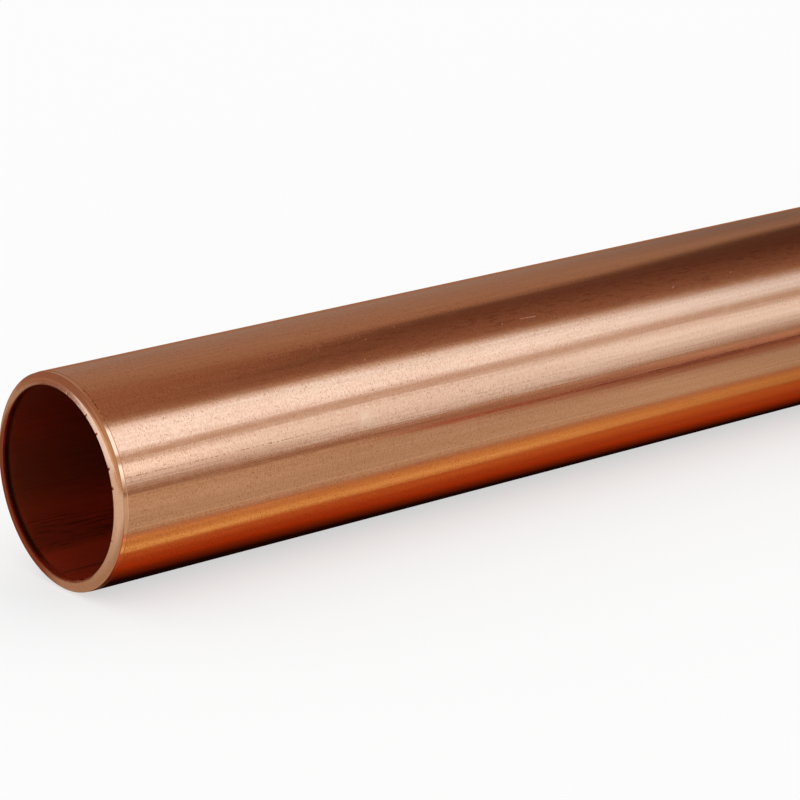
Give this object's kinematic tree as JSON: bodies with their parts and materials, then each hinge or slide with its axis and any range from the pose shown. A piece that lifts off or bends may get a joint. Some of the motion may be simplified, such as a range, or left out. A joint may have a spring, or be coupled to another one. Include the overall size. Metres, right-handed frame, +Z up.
{
  "type": "copper pipe",
  "caption": "Straight length of bright drawn copper pipe with a thin wall, a plain bore and cut, deburred ends.",
  "frame": {"origin": "on the floor, under the middle of the pipe", "axes": "+X along the pipe's axis, +Z up from the floor that the pipe lies on"},
  "size_m": [1, 0.015, 0.015],
  "materials": {
    "copper": "bright drawn copper with fine draw lines along the pipe and small pits"
  },
  "bodies": {
    "root": {"copper_pipe": "copper"}
  },
  "joints": []
}
